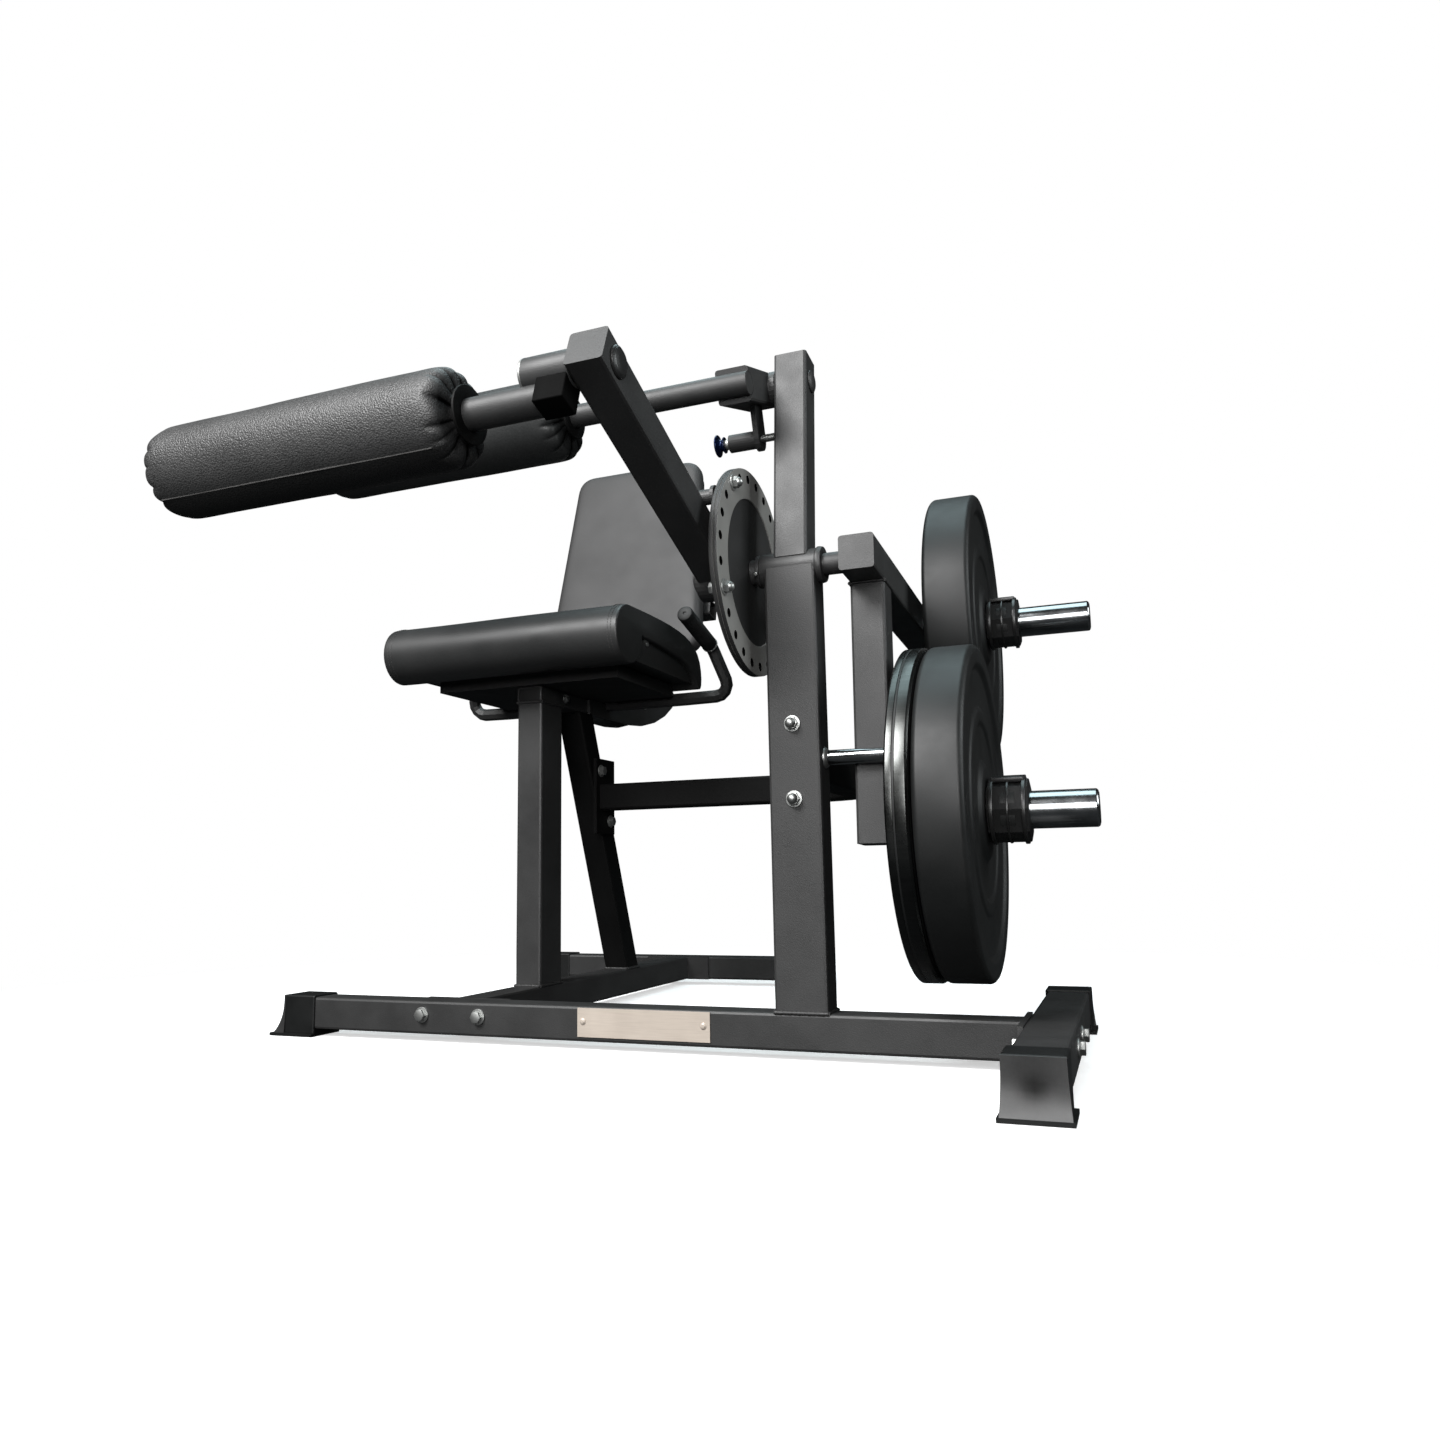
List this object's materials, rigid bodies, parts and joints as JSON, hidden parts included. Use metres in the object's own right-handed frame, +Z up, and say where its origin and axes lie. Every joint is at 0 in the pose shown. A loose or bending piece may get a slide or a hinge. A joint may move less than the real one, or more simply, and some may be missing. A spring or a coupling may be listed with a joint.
{
  "type": "leg extension and hamstring machine",
  "caption": "Plate-loaded seated leg machine with swinging weight frame, indexed lever arm, foam rollers, padded seat and backrest on a tube frame.",
  "frame": {"origin": "on the floor under the middle of the machine's box", "axes": "+X to the right of someone facing the roller side, +Y towards the backrest, +Z up"},
  "size_m": [1.306, 1.3868, 1.1697],
  "materials": {
    "black_powder_coat": "satin",
    "black_plastic": "matte",
    "brushed_plate": "brushed",
    "bearing_steel": "satin",
    "chrome": "polished",
    "plate_iron": "satin",
    "zinc": "zinc plated",
    "plywood": "painted",
    "black_vinyl": "satin",
    "roller_vinyl": "grained",
    "bumper_rubber": "matte",
    "grip_rubber": "matte",
    "blue_knob": "anodised"
  },
  "bodies": {
    "frame": {"front_base_rail": "black_powder_coat", "cross_foot_tube": "black_powder_coat", "seat_base_crossmember": "black_powder_coat", "rear_foot_tube": "black_powder_coat", "lower_upright": "black_powder_coat", "bearing_housing": "black_powder_coat", "upper_upright": "black_powder_coat", "hold_down_pivot_pin": "black_powder_coat", "upright_link_tube": "black_powder_coat", "front_seat_post": "black_powder_coat", "rear_seat_post": "black_powder_coat", "seat_frame": "black_powder_coat", "seat_side_plate_left": "black_powder_coat", "seat_side_plate_right": "black_powder_coat", "back_support_post": "black_powder_coat", "back_cross_tube_left": "black_powder_coat", "back_cross_tube_right": "black_powder_coat", "handle_bar": "black_powder_coat", "front_rail_boot": "black_plastic", "cross_foot_boot_front": "black_plastic", "cross_foot_boot_rear": "black_plastic", "rear_foot_boot_left": "black_plastic", "rear_foot_boot_right": "black_plastic", "nameplate": "brushed_plate", "shaft_bearing_left": "bearing_steel", "shaft_bearing_right": "bearing_steel", "stop_rod": "chrome", "upright_bolt_lower": "zinc", "upright_bolt_upper": "zinc", "seat_board": "plywood", "backrest_board": "plywood", "seat_pad": "black_vinyl", "backrest_pad": "black_vinyl", "handle_grip_left": "grip_rubber", "handle_grip_right": "grip_rubber"},
    "weight_frame": {"main_shaft": "black_powder_coat", "shaft_collar": "black_powder_coat", "indexing_disc": "black_powder_coat", "disc_stop_bolt_upper": "zinc", "disc_stop_bolt_lower": "zinc", "weight_beam": "black_powder_coat", "pendulum_tube": "black_powder_coat", "upper_horn": "chrome", "lower_horn": "chrome"},
    "lever": {"lever_arm": "black_powder_coat", "lever_hub": "black_powder_coat", "arm_pivot_pin": "zinc"},
    "arm_pin": {"arm_pull_pin": "zinc"},
    "roller_swing": {"roller_link": "black_powder_coat"},
    "near_roller_body": {"near_roller": "roller_vinyl"},
    "hold_down": {"hold_down_link": "black_powder_coat", "hold_down_bar": "black_powder_coat"},
    "hold_down_pin": {"hold_down_pull_pin": "chrome", "hold_down_knob": "blue_knob"},
    "far_roller_body": {"far_roller": "roller_vinyl"},
    "lower_load": {"lower_thin_plate": "plate_iron", "lower_bumper_plate": "bumper_rubber", "lower_clamp_collar": "black_plastic"},
    "upper_load": {"upper_bumper_plate": "bumper_rubber", "upper_clamp_collar": "black_plastic"}
  },
  "joints": [
    {"name": "weight_frame_swing", "type": "hinge", "parent": "frame", "child": "weight_frame", "pos_m": [0.223, -0.2296, 0.685], "axis": [1, 0, 0], "range_deg": [0, 95]},
    {"name": "lever_index", "type": "hinge", "parent": "weight_frame", "child": "lever", "pos_m": [0.223, -0.2296, 0.685], "axis": [-1, 0, 0], "range_deg": [-50, 4]},
    {"name": "arm_pin_pull", "type": "slide", "parent": "lever", "child": "arm_pin", "axis": [-1, 0, 0], "range_m": [0, 0.015], "stiffness_N_per_m": 800},
    {"name": "roller_link_swing", "type": "hinge", "parent": "lever", "child": "roller_swing", "pos_m": [0.223, -0.62091, 0.83757], "axis": [1, 0, 0], "range_deg": [-45, 45]},
    {"name": "near_roller_spin", "type": "hinge", "parent": "roller_swing", "child": "near_roller_body", "pos_m": [0.223, -0.63091, 0.80457], "axis": [1, 0, 0], "continuous": true},
    {"name": "hold_down_swing", "type": "hinge", "parent": "frame", "child": "hold_down", "pos_m": [0.223, -0.20141, 0.978], "axis": [-1, 0, 0], "range_deg": [-10, 70]},
    {"name": "hold_down_pin_pull", "type": "slide", "parent": "hold_down", "child": "hold_down_pin", "axis": [-1, 0, 0], "range_m": [0, 0.015], "stiffness_N_per_m": 800},
    {"name": "far_roller_spin", "type": "hinge", "parent": "hold_down", "child": "far_roller_body", "pos_m": [0.223, -0.3092, 0.94089], "axis": [1, 0, 0], "continuous": true},
    {"name": "lower_load_slide", "type": "slide", "parent": "weight_frame", "child": "lower_load", "axis": [1, 0, 0], "range_m": [0, 0.26]},
    {"name": "upper_load_slide", "type": "slide", "parent": "weight_frame", "child": "upper_load", "axis": [1, 0, 0], "range_m": [0, 0.26]}
  ]
}
